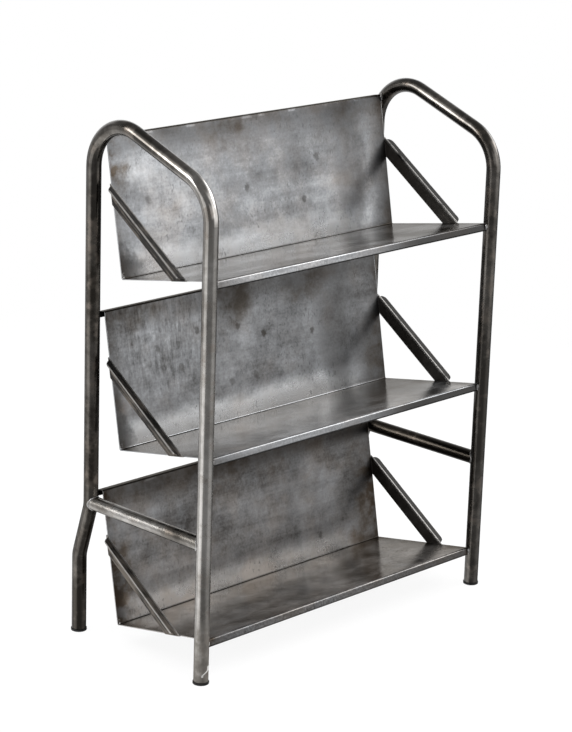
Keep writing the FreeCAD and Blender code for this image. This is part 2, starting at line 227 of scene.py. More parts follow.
# %% [markdown]
# ## Three helpers for every finish
# A finish could be painted on an unwrapped picture, but that has seams and a fixed sharpness. Here every
# finish is worked out from the place of a surface point in metres, so patches keep their true size on every
# piece. One helper starts a material, one makes clouds of a given size, and one joins the results.

# %% helpers for materials
COAT_ROUGHNESS = 0.08


def start(name):
    """A new material and the coordinates of a surface point, in metres in the bookcase's own frame."""
    material = bpy.data.materials.new(name)
    material.use_nodes = True
    material.node_tree.nodes.clear()
    return material, Wire(material.node_tree.nodes.new("ShaderNodeTexCoord").outputs["Object"])


def clouds(place, size, detail=5.0, rough=0.6, stretch=(1.0, 1.0, 1.0)):
    """Uneven grey patches about the given size in metres; stretch below one draws them out on that axis."""
    spread = place.stretched(*(factor / size for factor in stretch))
    settings = {"Vector": spread, "Scale": 1.0, "Detail": detail, "Roughness": rough}
    return place.node("ShaderNodeTexNoise", {}, settings)


def close(material, place, colour, roughness, relief, depth,
          metallic=1.0, coat=0.0, grazing=(1.0, 1.0, 1.0)):
    """Joins the values to a surface shader; depth raises the relief, and grazing tints flat reflections."""
    bump = place.node("ShaderNodeBump", {}, {"Strength": 1.0, "Distance": depth, "Height": relief})
    values = {"Base Color": colour, "Roughness": roughness, "Metallic": metallic, "Normal": bump,
              "Coat Weight": coat, "Coat Roughness": COAT_ROUGHNESS, "Specular Tint": (*grazing, 1.0)}
    surface = place.node("ShaderNodeBsdfPrincipled", {}, values)
    place.node("ShaderNodeOutputMaterial", {}, {0: surface})
    return material


print("material helpers are ready")

# %% [markdown]
# ## Floor and lamp
# The floor is a pale round sheet that fades into the white behind it, so that no edge shows. It takes the
# soft shadow of the bookcase under a large lamp overhead. Steel would mirror a white floor from every side
# and lose its dark parts, so the floor and the lamp are left out of reflections.

# %% floor
FLOOR_RADIUS = 2.6
FLOOR_CORNERS = 96
FLOOR_CLEAR = 0.91
FADE_START = 0.7
FADE_END = 0.9 * FLOOR_RADIUS
PAPER_DARK = (0.90, 0.90, 0.90)
PAPER_LIGHT = (0.94, 0.94, 0.94)


def floor_paper():
    """Paper so clear that it shows only a soft shadow, and quite clear at its rim."""
    material, place = start("studio_paper")
    fibre = clouds(place, 0.004)
    paper = place.node("ShaderNodeBsdfDiffuse", {}, {"Color": blend(fibre, PAPER_DARK, PAPER_LIGHT)})
    nothing = place.node("ShaderNodeBsdfTransparent", {}, {})
    from_middle = place.node("ShaderNodeVectorMath", {"operation": "LENGTH"}, {0: place}, 1)
    fade = FLOOR_CLEAR + (1 - FLOOR_CLEAR) * rise(from_middle, FADE_START, FADE_END)
    mixed = place.node("ShaderNodeMixShader", {}, {0: fade, 1: paper, 2: nothing})
    place.node("ShaderNodeOutputMaterial", {}, {0: mixed})
    return material


turns = [2 * math.pi * corner / FLOOR_CORNERS for corner in range(FLOOR_CORNERS)]
floor_mesh = bpy.data.meshes.new("studio_floor")
rim = [(FLOOR_RADIUS * math.cos(turn), FLOOR_RADIUS * math.sin(turn), 0.0) for turn in turns]
floor_mesh.from_pydata(rim, [], [range(FLOOR_CORNERS)])
floor_mesh.materials.append(floor_paper())
floor = bpy.data.objects.new("studio_floor", floor_mesh)
floor.visible_glossy = False
scene.collection.objects.link(floor)
print("floor is", 2 * FLOOR_RADIUS, "m wide")

# %% lamp
LAMP_WIDTH = 6.0
LAMP_HEIGHT = 3.2
LAMP_POWER = 340.0
lamp_data = bpy.data.lights.new("overhead_lamp", "AREA")
lamp_data.size = LAMP_WIDTH
lamp_data.energy = LAMP_POWER
lamp = bpy.data.objects.new("overhead_lamp", lamp_data)
lamp.location = (0.0, 0.0, LAMP_HEIGHT)
lamp.visible_glossy = False
lamp.visible_camera = False
scene.collection.objects.link(lamp)
print("lamp hangs", LAMP_HEIGHT, "m above the floor")

# %% [markdown]
# ## The shelves
# Each shelf is one folded sheet of a lip, a plate and a panel, and its marks follow the sheet. So the script
# first turns a point into a distance along the plate and a height up the panel. From these it finds which
# part the point is on and how far it is from the fold. The clouds and brush strokes that all parts share are
# made here once.

# %% sheet directions
TILT = math.radians(10.45)
LIP_Y = -0.17335
PLATE_DEPTH = 0.2533
PANEL_HEIGHT = 0.2676
SHELF_HALF = 0.3755
SHELF_HEIGHTS = {"top": 0.7744, "middle": 0.4394, "bottom": 0.0824}
END_STRIP = 0.035
TOP_STRIP = 0.055


class Sheet:
    """A point on a folded shelf in the sheet's own directions, with the patterns that its parts share."""

    def __init__(self, place, shelf_height):
        back = place.axis(1) - LIP_Y
        above = place.axis(2) - shelf_height
        self.place = place
        self.x = place.axis(0)
        self.along = back * math.cos(TILT) - above * math.sin(TILT)
        self.up = back * math.sin(TILT) + above * math.cos(TILT)
        self.panel = rise(self.up + self.along, PLATE_DEPTH - 0.0004, PLATE_DEPTH + 0.0008)
        self.lip = rise(self.up, -0.001, -0.003)
        self.plate = (1 - self.panel) * (1 - self.lip)
        self.from_fold = self.up + (PLATE_DEPTH - self.along)

        cloud = clouds(place, 0.20, 2.5, 0.5)
        self.mottle = clouds(place, 0.045, 6.0, 0.65)
        self.grain = clouds(place, 0.005, 3.0, 0.65)
        self.strokes = clouds(place, 0.006, 4.0, 0.6, (0.07, 1.0, 1.0))
        self.uneven = 0.6 * (cloud - 0.5) + 0.85 * (self.mottle - 0.5) + 0.40 * (self.grain - 0.5)
        self.ragged = 0.07 * (self.mottle - 0.5)
        self.end_strip = rise(abs(self.x) + self.ragged, SHELF_HALF - END_STRIP, SHELF_HALF)
        self.top_strip = rise(self.up + self.ragged, PANEL_HEIGHT - TOP_STRIP, PANEL_HEIGHT - 0.015)


print("plates slope", round(math.degrees(TILT), 2), "degrees to the back")

# %% [markdown]
# The steel was stripped and burnished by hand: it is cloudy, lighter where the wheel bit and darker to the
# ends. Each part gets a tone, from nothing for dark steel to one for light steel. A photograph of steel
# could give this too, but tones that are sums can be tuned one by one. The lip is brushed lengthwise and
# fades to the right. The plate goes from one tone at the lip to another at the fold.

# %% tones of lip and plate
def lip_tone(sheet, look):
    """Brushed and rough, darker to the right, at the left end and along its foot."""
    tone = look["lip"] * (1 + (sheet.strokes - 0.5) + look["lip_rough"] * (sheet.grain - 0.5))
    tone = tone * (1 - look["lip_fade"] * rise(sheet.x, -0.06, 0.20))
    # Darker at the left end, and darker at the foot as painted shade where the lip curves under.
    return tone * (1 - 0.4 * rise(sheet.x, -0.27, -0.36)) * (1 - 0.8 * rise(sheet.up, -0.0125, -0.0145))


def plate_tone(sheet, look):
    """Uneven from lip to fold, darker at the ends and in the fold, with thin dark veins on the right."""
    near, far, bend = look["plate"]
    towards_lip = 1 - sheet.along * (1 / PLATE_DEPTH)
    tone = far + (near - far) * towards_lip.maths("POWER", towards_lip.limited(), bend)
    tone = tone + look["mottled"] * sheet.uneven
    # Darker at the ends, and darker in a strip by the fold as painted shade in the crease.
    tone = tone * (1 - 0.6 * sheet.end_strip) * (1 - 0.5 * rise(sheet.from_fold, 0.008, 0.002))
    veins = rise(abs(clouds(sheet.place, 0.06, 2.0, 0.5) - 0.5), 0.012, 0.004) * rise(sheet.x, 0.10, 0.22)
    return tone * (1 - look["veined"] * veins) * (1 - 0.4 * rise(sheet.x, -0.24, -0.34))


print("lips and plates have tones")

# %% [markdown]
# The panel is the part that one sees most of. On top of its clouds it has light and dark ovals, where the
# wheel stayed longer or missed, drips, dark flecks and dark edges. Light is painted on it too: a light foot
# above the fold is a painted reflection, a darker band at the top is painted shade, a thin painted highlight
# runs above the fold and below the top bend, and the dark ovals at the right end also hold a painted dark
# reflection. An oval is given by its middle, its two half sizes and an amount. Its rim fades, so several of
# them run together.

# %% tone of the panel
BRINK = 0.014
DRIP_SPREAD = 0.16


def patch(x, up, centre_x, centre_up, width, height):
    """A soft oval on the panel, one in its middle and nothing outside."""
    off_x = (x - centre_x) * (1 / width)
    off_up = (up - centre_up) * (1 / height)
    return rise(off_x * off_x + off_up * off_up, 1.0, 0.0)


def panel_tone(sheet, look):
    """Clouds and strokes, then light ovals, flecks, dark ovals and dark edges."""
    place, x, up = sheet.place, sheet.x, sheet.up
    brushed = clouds(place, 0.016, 5.0, 0.6, (0.15, 1.0, 1.0))
    drips = clouds(place, 0.008, 4.0, 0.65, (1.0, 1.0, 0.12))
    flecks = rise(clouds(place, 0.005, 2.0, 0.5, (1.0, 1.0, 0.5)), 0.58, 0.70)
    flecks = flecks * rise(clouds(place, 0.07, 3.0, 0.5), 0.45, 0.60)
    # A broken painted highlight just below the top bend, where the sheet turns back.
    rim = rise(up, PANEL_HEIGHT - 0.008, PANEL_HEIGHT - 0.005) * rise(sheet.mottle, 0.52, 0.60)
    tone = look["panel"] + look["cloudy"] * sheet.uneven + 0.5 * rim
    tone = tone + 0.15 * (sheet.strokes - 0.5) + 0.28 * (brushed - 0.5)
    # A lighter foot above the fold, as a painted reflection of the lit plate below it.
    tone = tone + look["foot"] * rise(up, 0.065, 0.015) * rise(x, 0.36, 0.20)
    drip_x, drip_up, drip_amount = look["drips"]
    tone = tone + drip_amount * patch(x, up, drip_x, drip_up, DRIP_SPREAD, DRIP_SPREAD) * (drips - 0.5)
    tone = tone + sum(amount * patch(x, up, *oval) for *oval, amount in look["bright"])
    # Dark flecks, then a thin painted highlight just above the fold.
    tone = tone * (1 - look["flecked"] * flecks) + look["fold_highlight"] * rise(sheet.from_fold, 0.006, 0.003)
    # Dark ovals: patina, and at the right end of a panel also a painted dark reflection.
    for *oval, amount in look["dark"]:
        tone = tone * (1 - amount * patch(x + sheet.ragged, up + sheet.ragged, *oval))
    left_dark, right_dark = look["edges"]
    end_dark = sheet.end_strip * (left_dark + (right_dark - left_dark) * rise(x, -0.1, 0.1))
    brink = rise(abs(x), SHELF_HALF - BRINK, SHELF_HALF)
    # The darker band at the top is painted shade; the dark ends are patina.
    return tone * (1 - look["brim"] * sheet.top_strip) * (1 - end_dark) * (1 - end_dark * brink)


print("panels have tones")

# %% [markdown]
# Old stains stayed brown at the ends, at the top and in a few ovals. Dirt sits in small pits, a dark line
# runs in the fold, and painted shade lies on the top bend and where the fold meets the ends. At the cut ends
# and at the left corner of the fold the sheet is rubbed bare, and there neither stain nor these dark marks
# hold. Each of these is an amount from nothing to one.

# %% stains, dirt, painted shade and bare steel
PIT_SIZE = 0.010


def bare_steel(sheet):
    """The cut ends of the sheet, and the left corner where panel and plate meet."""
    cut_end = rise(abs(sheet.x), SHELF_HALF - 0.0008, SHELF_HALF - 0.0003)
    corner = rise(sheet.x, 0.010 - SHELF_HALF, 0.004 - SHELF_HALF) * rise(sheet.from_fold, 0.014, 0.006)
    return (cut_end + sheet.panel * corner * rise(sheet.grain, 0.40, 0.55)).limited()


def brown_stain(sheet, look):
    """Rust in uneven clouds, a little all over and more at the ends, at the top and in the brown ovals."""
    rust = rise(clouds(sheet.place, 0.05, 5.0, 0.62), 0.32, 0.72)
    brown = look["stained"] + look["rusty"] * (sheet.end_strip + 0.6 * sheet.panel * sheet.top_strip)
    x, up = sheet.x + sheet.ragged, sheet.up - sheet.ragged
    ovals = [amount * patch(x, up, *oval) for *oval, amount in look["brown"]]
    return (rust * (brown + sheet.panel * sum(ovals))).limited()


def pit(x, up, centre_x, centre_up, strength):
    """A small dark spot with a faint halo."""
    spot = patch(x, up, centre_x, centre_up, PIT_SIZE, 1.3 * PIT_SIZE)
    return strength * (0.3 * spot + 0.7 * rise(spot, 0.45, 1.0))


def deep_pits(sheet, look):
    wobble = 0.016 * (clouds(sheet.place, 0.012, 4.0, 0.65) - 0.5)
    return sheet.panel * sum(pit(sheet.x + wobble, sheet.up - wobble, *spot) for spot in look["pits"])


def dark_lines_and_corner_shade(sheet, look):
    """A dark line in the fold, painted shade on the top bend, and painted shade where the fold meets the
    ends.
    """
    line = look["fold_line"] * rise(sheet.from_fold, 0.0032, 0.0014)
    # Painted shade on the top bend, where the sheet turns back out of the light.
    line = line + 0.85 * rise(sheet.up, PANEL_HEIGHT - 0.004, PANEL_HEIGHT - 0.002)
    # Painted shade where the fold meets the ends.
    return line + 0.6 * (sheet.end_strip * rise(sheet.from_fold, 0.03, 0.0))


print("stains, pits and dirt are ready")

# %% [markdown]
# The finish turns the tones into dark, middle and light steel, tints it a little warm or cool in wide
# clouds, and lays stains, dirt and painted shade over it. The light parts of a panel are smoother. Dull
# blotches on the plates count as less metallic, which no roughness alone would show.

# %% shelf finish
STEEL_LIGHT = (0.70, 0.70, 0.71)
STEEL_MID = (0.295, 0.295, 0.30)
STEEL_DARK = (0.055, 0.052, 0.050)
BARE_TONE = 0.85
WARM = (1.0, 0.96, 0.92)
COOL = (0.955, 0.98, 1.0)
BROWNED = (0.56, 0.49, 0.42)
RUSTED = (0.42, 0.33, 0.25)
SOOT_AND_SHADE = (0.04, 0.035, 0.03)
GRAZING = (1.0, 0.965, 0.92)
SHEET_RELIEF = 0.0012


def three_tones(tone, dark, middle, light):
    """Dark at tone nothing, middle at one half and light at one."""
    colour = blend((tone * 2).limited(), dark, middle)
    return blend((tone * 2 - 1).limited(), colour, light)


def shelf_finish(name, shelf_height, look):
    material, place = start(name)
    sheet = Sheet(place, shelf_height)
    bare = bare_steel(sheet)
    # A painted highlight along the bend between plate and lip; the look's worn value sets how bright it is.
    lip_bend_highlight = rise(sheet.along, 0.003, 0.001) * rise(sheet.up, -0.0035, -0.0015)
    lip_bend_highlight = lip_bend_highlight * rise(sheet.x, 0.36, -0.05)
    tone = sheet.panel * panel_tone(sheet, look) + sheet.plate * plate_tone(sheet, look)
    tone = tone + sheet.lip * lip_tone(sheet, look) + look["worn"] * lip_bend_highlight
    tone = tone + (BARE_TONE - tone) * bare

    hue = clouds(place, 0.10, 4.0, 0.6) + look["hue"] + 0.10 * sheet.plate
    colour = three_tones(tone, STEEL_DARK, STEEL_MID, STEEL_LIGHT)
    colour = blend(rise(hue, 0.5, 0.68), colour, WARM, "MULTIPLY")
    colour = blend(rise(hue, 0.5, 0.32), colour, COOL, "MULTIPLY")
    stain = brown_stain(sheet, look) * (1 - bare)
    colour = blend(stain, colour, blend(sheet.end_strip, BROWNED, RUSTED), "MULTIPLY")
    pits = deep_pits(sheet, look)
    # Pits, the dark fold line and the painted shade on the top bend and in the corners darken the colour.
    dark_marks_and_shade = (pits + dark_lines_and_corner_shade(sheet, look)).limited() * (1 - bare)
    colour = blend(dark_marks_and_shade, colour, SOOT_AND_SHADE)

    roughness = 0.17 + sheet.panel * (0.15 - 0.06 * tone) + 0.15 * stain
    roughness = (roughness + 0.15 * (sheet.mottle - 0.5) + 0.1 * sheet.lip).limited()
    blotch = rise(clouds(place, 0.05, 3.0, 0.55, (0.4, 1.0, 1.0)), 0.38, 0.68)
    metallic = (1 - look["blotched"] * sheet.plate * blotch).limited()
    relief = clouds(place, 0.09, 2.0, 0.5) + 0.03 * sheet.strokes + 0.02 * sheet.grain - 0.05 * pits
    grazing = tuple(look["sheen"] * part for part in GRAZING)
    return close(material, place, colour, roughness, relief, SHEET_RELIEF, metallic, grazing=grazing)


print("shelf finish is ready")

# %% [markdown]
# Every shelf has its own look: how light each part is, and where its ovals and pits lie. A plate's three
# values are its tone at the lip, its tone at the fold and how fast one turns into the other. Edges are the
# dark of the left and the right end, and drips are the middle of the place where they run and their amount.
# Worn sets the painted highlight on the lip's bend, foot the painted reflection above the fold and brim the
# painted shade at the top of the panel.

# %% looks of the three shelves
looks = {
    "top": {
        "panel": 0.47, "cloudy": 0.9, "flecked": 0.35, "foot": 0.50, "edges": (0.10, 0.55), "brim": 0.45,
        "hue": -0.10, "stained": 0.20, "rusty": 0.5, "sheen": 0.61, "fold_highlight": 0.0, "fold_line": 0.75,
        "plate": (0.17, 0.08, 1.0), "mottled": 0.9, "blotched": 0.35, "veined": 0.0,
        "lip": 0.56, "lip_fade": 0.95, "lip_rough": 1.2, "worn": 0.4, "drips": (-0.30, 0.20, 0.3),
        "bright": [(-0.31, 0.235, 0.10, 0.08, 0.28), (-0.25, 0.12, 0.16, 0.16, 0.14),
                   (0.20, 0.06, 0.10, 0.09, 0.12), (0.31, 0.07, 0.03, 0.08, 0.12),
                   (0.08, 0.09, 0.25, 0.07, 0.10)],
        "dark": [(0.265, 0.12, 0.06, 0.18, 0.40), (0.27, 0.24, 0.12, 0.06, 0.30),
                 (0.37, 0.13, 0.05, 0.30, 0.5), (-0.37, 0.01, 0.06, 0.06, 0.7),
                 (0.37, 0.01, 0.06, 0.08, 0.5), (-0.372, 0.035, 0.03, 0.05, 0.6)],
        "brown": [(-0.36, 0.22, 0.04, 0.07, 1.0), (-0.06, 0.24, 0.08, 0.05, 0.5),
                  (0.28, 0.24, 0.10, 0.05, 0.3)],
        "pits": [(-0.030, 0.127, 0.6), (0.170, 0.165, 0.5), (0.125, 0.085, 0.6), (-0.290, 0.138, 0.4)]},
    "middle": {
        "panel": 0.33, "cloudy": 1.0, "flecked": 0.5, "foot": 0.80, "edges": (0.30, 0.40), "brim": 0.50,
        "hue": -0.20, "stained": 0.20, "rusty": 0.5, "sheen": 0.68, "fold_highlight": 0.30, "fold_line": 0.25,
        "plate": (0.85, 0.10, 1.6), "mottled": 1.1, "blotched": 0.15, "veined": 0.0,
        "lip": 0.48, "lip_fade": 0.95, "lip_rough": 1.2, "worn": 0.05, "drips": (-0.24, 0.20, 1.0),
        "bright": [(-0.28, 0.25, 0.12, 0.03, 0.15), (0.12, 0.02, 0.18, 0.05, 0.15),
                   (0.23, 0.05, 0.09, 0.06, 0.22)],
        "dark": [(-0.05, 0.25, 0.09, 0.07, 0.55), (0.155, 0.25, 0.08, 0.07, 0.55),
                 (0.245, 0.15, 0.075, 0.26, 0.60), (0.38, 0.03, 0.09, 0.14, 0.65),
                 (-0.37, 0.01, 0.05, 0.05, 0.6), (0.33, 0.13, 0.06, 0.20, 0.3),
                 (-0.372, 0.06, 0.028, 0.08, 0.65)],
        "brown": [(-0.045, 0.235, 0.08, 0.07, 0.8), (0.15, 0.24, 0.08, 0.06, 0.8),
                  (-0.31, 0.25, 0.10, 0.04, 0.6), (0.36, 0.06, 0.05, 0.10, 0.6)],
        "pits": [(0.033, 0.155, 0.8), (0.170, 0.138, 0.7), (-0.035, 0.180, 0.60), (-0.147, 0.192, 0.6),
                 (-0.195, 0.127, 0.55), (-0.253, 0.172, 0.5), (-0.065, 0.074, 0.40), (0.000, 0.077, 0.4)]},
    "bottom": {
        "panel": 0.20, "cloudy": 0.7, "flecked": 0.35, "foot": 0.74, "edges": (0.25, 0.45), "brim": 0.80,
        "hue": 0.05, "stained": 0.30, "rusty": 1.1, "sheen": 0.70, "fold_highlight": 0.0, "fold_line": 0.85,
        "plate": (0.40, 0.06, 1.0), "mottled": 1.2, "blotched": 0.25, "veined": 0.6,
        "lip": 0.20, "lip_fade": 0.5, "lip_rough": 4.0, "worn": 0.1, "drips": (0.05, 0.08, 0.15),
        "bright": [(0.19, 0.16, 0.12, 0.07, 0.16), (0.00, 0.15, 0.08, 0.05, 0.10),
                   (0.20, 0.10, 0.12, 0.06, 0.12), (-0.22, 0.05, 0.15, 0.07, 0.16),
                   (-0.30, 0.18, 0.10, 0.06, 0.10)],
        "dark": [(0.36, 0.10, 0.08, 0.25, 0.35), (-0.38, 0.03, 0.05, 0.09, 0.6),
                 (-0.03, 0.26, 0.20, 0.04, 0.6), (-0.372, 0.07, 0.03, 0.10, 0.5)],
        "brown": [(0.345, 0.12, 0.05, 0.11, 1.2), (-0.36, 0.07, 0.05, 0.13, 1.6),
                  (0.0, 0.23, 0.20, 0.05, 0.5), (0.33, 0.02, 0.09, 0.03, 0.9)],
        "pits": [(0.20, 0.045, 0.5), (0.13, 0.075, 0.3), (-0.10, 0.16, 0.3)]},
}
for name, look in looks.items():
    sheet_finish = shelf_finish(name + "_sheet", SHELF_HEIGHTS[name], look)
    nodes[name + "_shelf"].material_slots[0].material = sheet_finish
    print(name, "shelf finish has", len(sheet_finish.node_tree.nodes), "nodes")

# %% [markdown]
# ## The side frames and rungs
# The tubes kept more of their dark mill skin than the sheets. Hands and tools rubbed it off in long streaks,
# so the dark and the bright patches are drawn out along the tube. A clear coat of wax gives the sharp light
# lines. The front left leg is worn brightest and is painted lighter still, where the most light falls on it.
# Its foot is dull, with one curved white scrape, and every foot has a sooty line above its plug. The right
# rung is painted darker as painted shade, so that it loses its highlight towards the front.

# %% tube finish
TUBE_BRIGHT = (0.66, 0.64, 0.615)
TUBE_MID = (0.26, 0.242, 0.22)
TUBE_DARK = (0.06, 0.052, 0.043)
STAIN = (0.22, 0.185, 0.155)
SCUFF_WHITE = (0.85, 0.84, 0.82)
SCRAPE_FOOT = 0.0027
SCRAPE_LEAN = 0.0105
SCRAPE_HEIGHT = 0.027
DIAGONAL = 0.7
TUBE_RELIEF = 0.0004


def leg_middle(foot):
    low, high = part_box(foot)
    return (low[0] + high[0]) / 2, (low[1] + high[1]) / 2


def drawn_out(lengthwise, amount):
    """A stretch that draws a pattern out along the axis that lengthwise marks."""
    return tuple(amount if marked else 1.0 for marked in lengthwise)


def foot_scrape(x, y, z):
    """The scrape on the front left foot: upright at its ends and leaning to the right between them."""
    foot_x, foot_y = leg_middle("front_left_foot_cap")
    line = SCRAPE_FOOT + SCRAPE_LEAN * rise(z, 0.019, 0.031)
    sideways = DIAGONAL * (x - foot_x) - DIAGONAL * (y - foot_y)
    return rise(abs(sideways - line), 0.0022, 0.0010) * rise(abs(z - SCRAPE_HEIGHT), 0.011, 0.009)


def tube_finish(name, shade, front_wear_and_light, lengthwise, patch_size, waxed, polished):
    """Dark or bright by its shade; its front is lightened by wear and painted light, or darkened below zero,
    and polished smooths the top bends.
    """
    material, place = start(name)
    x, y, z = (place.axis(index) for index in range(3))
    worn = clouds(place, patch_size, 3.0, 0.55, drawn_out(lengthwise, 0.35))
    streak = clouds(place, 0.012, 2.5, 0.5, drawn_out(lengthwise, 0.06))
    fleck = clouds(place, 0.015, 2.5, 0.5)
    # The front is lighter from wear and as painted light where the most light falls; below zero it is
    # darker.
    front = front_wear_and_light * rise(y, 0.0, -0.15)
    foot = front * rise(z, 0.15, 0.07)
    tone = shade + 1.5 * (worn - 0.5) + 0.5 * (streak - 0.5) + 0.5 * (fleck - 0.5)
    tone = tone + front * (1 - 0.2 * rise(z, 0.55, 0.80))
    tone = tone + foot * (0.9 * (clouds(place, 0.018, 3.0, 0.6) - 0.5) - 0.60)

    colour = three_tones(tone, TUBE_DARK, TUBE_MID, TUBE_BRIGHT)
    stain = rise(clouds(place, 0.03, 3.0, 0.6), 0.50, 0.72) * (tone * 2 + 1).limited()
    colour = blend(stain * 0.7, colour, STAIN)
    colour = blend((3 * foot * foot_scrape(x, y, z)).limited(), colour, SCUFF_WHITE)
    colour = blend(rise(z, 0.0065, 0.0050), colour, SOOT_AND_SHADE)

    handled = polished * rise(z, 0.75, 0.90)
    roughness = (0.27 - 0.11 * handled - 0.05 * tone + 0.15 * stain + 0.4 * foot).limited()
    dents = clouds(place, 0.05, 2.0, 0.5)
    coat = (waxed * (1 - foot) + 0.3 * handled).limited()
    return close(material, place, colour, roughness, dents, TUBE_RELIEF, 1 - 0.4 * foot, coat)


print("tube finish is ready")

# %% tubes
UPRIGHT = (0, 0, 1)
LEVEL = (0, 1, 0)
tubes = {
    # The left frame's front leg is lightened by wear and as painted light.
    "left_side_frame": {"shade": 0.05, "front_wear_and_light": 0.83, "lengthwise": UPRIGHT,
                        "patch_size": 0.07, "waxed": 0.4, "polished": 1.0},
    "right_side_frame": {"shade": 0.07, "front_wear_and_light": 0.0, "lengthwise": UPRIGHT,
                         "patch_size": 0.07, "waxed": 1.0, "polished": 0.2},
    "left_side_rung": {"shade": 0.75, "front_wear_and_light": -0.32, "lengthwise": LEVEL,
                       "patch_size": 0.025, "waxed": 0.3, "polished": 0.0},
    # The right rung's low shade and darker front end are painted shade, which takes its highlight away.
    "right_side_rung": {"shade": -0.35, "front_wear_and_light": -0.3, "lengthwise": LEVEL,
                        "patch_size": 0.07, "waxed": 0.0, "polished": 0.0},
}
for name, choices in tubes.items():
    nodes[name].material_slots[0].material = tube_finish(name + "_steel", **choices)
print("finished", len(tubes), "tubes")

# %% [markdown]
# ## The end braces
# A short steel angle closes each corner of plate and panel. Its faces are almost black, with streaks along
# the bar. A painted highlight runs along the heel and the free edge of the angle, broken where the wear
# clouds are dark. The streaks need the bar's own direction, so the point is turned into it, and the distance
# to the two edges decides where the highlight shows.

# %% brace finish
BRACE_REACH = 0.178
BRACE_FLANGE = 0.0155
BRACE_SLOPE = math.radians(45.0) - TILT
BRACE_BLACK = (0.042, 0.040, 0.038)
BRACE_BROWN = (0.20, 0.175, 0.15)
BRACE_GREY = (0.34, 0.31, 0.285)
BRACE_RELIEF = 0.0002


def brace_finish(name, shelf_height, shade, leg_grey, heel_highlight, rim_highlight):
    """A black angle; leg_grey lightens the leg that hangs down, and the others set the painted highlights on
    its edges.
    """
    material, place = start(name)
    outward = abs(place.axis(0)) - SHELF_HALF
    back = place.axis(1) - (LIP_Y + (PLATE_DEPTH - BRACE_REACH) * math.cos(TILT))
    above = place.axis(2) - (shelf_height - (PLATE_DEPTH - BRACE_REACH) * math.sin(TILT))
    over = above * math.cos(BRACE_SLOPE) - back * math.sin(BRACE_SLOPE)
    lengthwise = back * math.cos(BRACE_SLOPE) + above * math.sin(BRACE_SLOPE)
    turned = place.node("ShaderNodeCombineXYZ", {}, {0: outward, 1: over, 2: lengthwise})
    worn = clouds(place, 0.04, 3.0, 0.6)
    streak = clouds(turned, 0.004, 3.0, 0.6, (1.0, 1.0, 0.08))
    tone = shade + 1.4 * (worn - 0.5) + 2.2 * (streak - 0.5)
    colour = blend(rise(tone, 0.2, 0.9), BRACE_BLACK, BRACE_BROWN)
    leg = leg_grey * rise(over, -0.003, -0.005)
    colour = blend(leg, colour, blend(rise(worn, 0.35, 0.65), BRACE_BROWN, BRACE_GREY))
    # Painted highlights along the heel and the free edge, broken up by the wear clouds.
    heel = heel_highlight * rise(abs(outward) + abs(over), 0.005, 0.0025)
    rim = rim_highlight * rise(outward, BRACE_FLANGE - 0.0016, BRACE_FLANGE - 0.0004)
    bright = ((heel + rim) * rise(worn, 0.25, 0.5)).limited()
    colour = blend(bright, colour, TUBE_BRIGHT)
    roughness = (0.42 - 0.15 * bright + 0.3 * (worn - 0.5)).limited()
    dents = clouds(place, 0.03, 2.0, 0.5)
    return close(material, place, colour, roughness, dents, BRACE_RELIEF, 1 - 0.4 * leg, coat=0.2)


print("brace slope", round(math.degrees(BRACE_SLOPE), 2), "degrees")

# %% braces
brace_shades = {"left": {"top": 0.30, "middle": 0.40, "bottom": 0.65},
                "right": {"top": 0.05, "middle": 0.05, "bottom": 0.05}}
brace_wear = {"left": {"leg_grey": 0.0, "heel_highlight": 0.6, "rim_highlight": 0.6},
              "right": {"leg_grey": 0.35, "heel_highlight": 1.0, "rim_highlight": 0.2}}
for shelf, shelf_height in SHELF_HEIGHTS.items():
    for side, wear in brace_wear.items():
        angle_finish = brace_finish(f"{shelf}_{side}_angle", shelf_height, brace_shades[side][shelf], **wear)
        nodes[f"{shelf}_{side}_brace"].material_slots[0].material = angle_finish
print("finished", len(SHELF_HEIGHTS) * len(brace_wear), "braces")

# %% [markdown]
# ## The foot caps
# Black plugs close the tubes. They are dull, and dusty where they were dragged. They are small and all
# alike, so one material with fine clouds serves all four.

# %% foot caps
PLUG_BLACK = (0.004, 0.004, 0.004)
PLUG_DUST = (0.02, 0.018, 0.016)
PLUG_RELIEF = 0.0003


def plug_finish():
    material, place = start("foot_plug_black")
    scuffs = clouds(place, 0.006, 5.0, 0.7)
    dusty = rise(scuffs, 0.5, 0.75)
    colour = blend(dusty, PLUG_BLACK, PLUG_DUST)
    return close(material, place, colour, 0.6 + 0.3 * dusty, scuffs, PLUG_RELIEF, metallic=0.0)


plug = plug_finish()
feet = [name for name in nodes if name.endswith("foot_cap")]
for name in feet:
    nodes[name].material_slots[0].material = plug
print("finished", len(feet), "foot caps")

# %% [markdown]
# ## The weld beads
# A hand-laid bead is a row of overlapping puddles. The CAD model has a plain bead at each joint. Here a rope
# is laid along the joint that swells once per puddle and is lumpy all over, and it takes that bead's place.
# A relief in the material would not change the outline of a bead, so the rope is a mesh, built ring by ring.

# %% a rope of weld metal
ROPE_SIDES = 12
ROPE_THIN = 0.86
ROPE_SWELL = 0.16
ROPE_TIP = 0.08
TIP_STEP = 0.3
LUMP_DEPTH = 0.22
LUMPS_PER_METRE = 260


